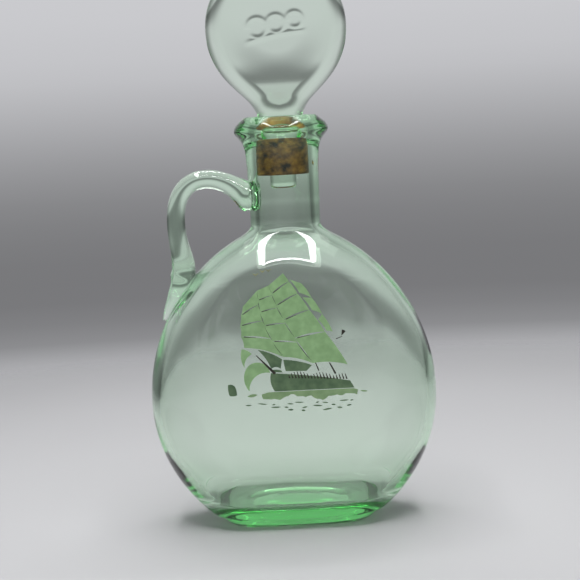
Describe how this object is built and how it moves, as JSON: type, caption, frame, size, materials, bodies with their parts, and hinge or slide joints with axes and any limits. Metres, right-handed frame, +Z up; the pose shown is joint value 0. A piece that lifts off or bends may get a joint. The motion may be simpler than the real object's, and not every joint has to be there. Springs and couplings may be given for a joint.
{
  "type": "handled glass decanter with cork stopper",
  "caption": "Flat-sided green glass decanter with a loop handle, a lollipop glass stopper in a cork sleeve, and a fired enamel picture of a clipper under sail.",
  "frame": {"origin": "middle of the flat base, which is the lowest face", "axes": "+Z up along the neck, -Y out of the pictured face, -X towards the handle"},
  "size_m": [0.132, 0.0602, 0.258],
  "materials": {
    "green_glass": "clear pale green, fire polished",
    "cork": "bare cut cork with dark pores",
    "sail_enamel": "fired sage green enamel, low gloss",
    "hull_enamel": "fired deep green enamel, low gloss",
    "sea_enamel": "fired light green enamel, low gloss",
    "dark_enamel": "fired brown-black enamel line work",
    "gilt_enamel": "rubbed fired gilding"
  },
  "bodies": {
    "decanter": {"bottle": "green_glass", "handle": "green_glass", "print_bowsprit": "dark_enamel", "print_bulwark_rails": "dark_enamel", "print_buoy": "hull_enamel", "print_foremast_sails": "sail_enamel", "print_gulls": "gilt_enamel", "print_hull": "hull_enamel", "print_jibs": "sail_enamel", "print_lower_masts": "dark_enamel", "print_mainmast_sails": "sail_enamel", "print_mizzenmast_sails": "sail_enamel", "print_pennant": "dark_enamel", "print_sail_shadows": "dark_enamel", "print_sea": "sea_enamel", "print_staysails": "hull_enamel", "print_studding_sails": "sail_enamel", "print_wave_crests": "hull_enamel", "print_yards": "dark_enamel"},
    "cork": {"cork_sleeve": "cork"},
    "stopper": {"glass_stopper": "green_glass"}
  },
  "joints": [
    {"name": "stopper_lift", "type": "slide", "parent": "decanter", "child": "cork", "axis": [0, 0, 1], "range_m": [0, 0.036]},
    {"name": "stopper_turn", "type": "hinge", "parent": "cork", "child": "stopper", "pos_m": [0, 0, 0.17], "axis": [0, 0, 1], "continuous": true}
  ]
}
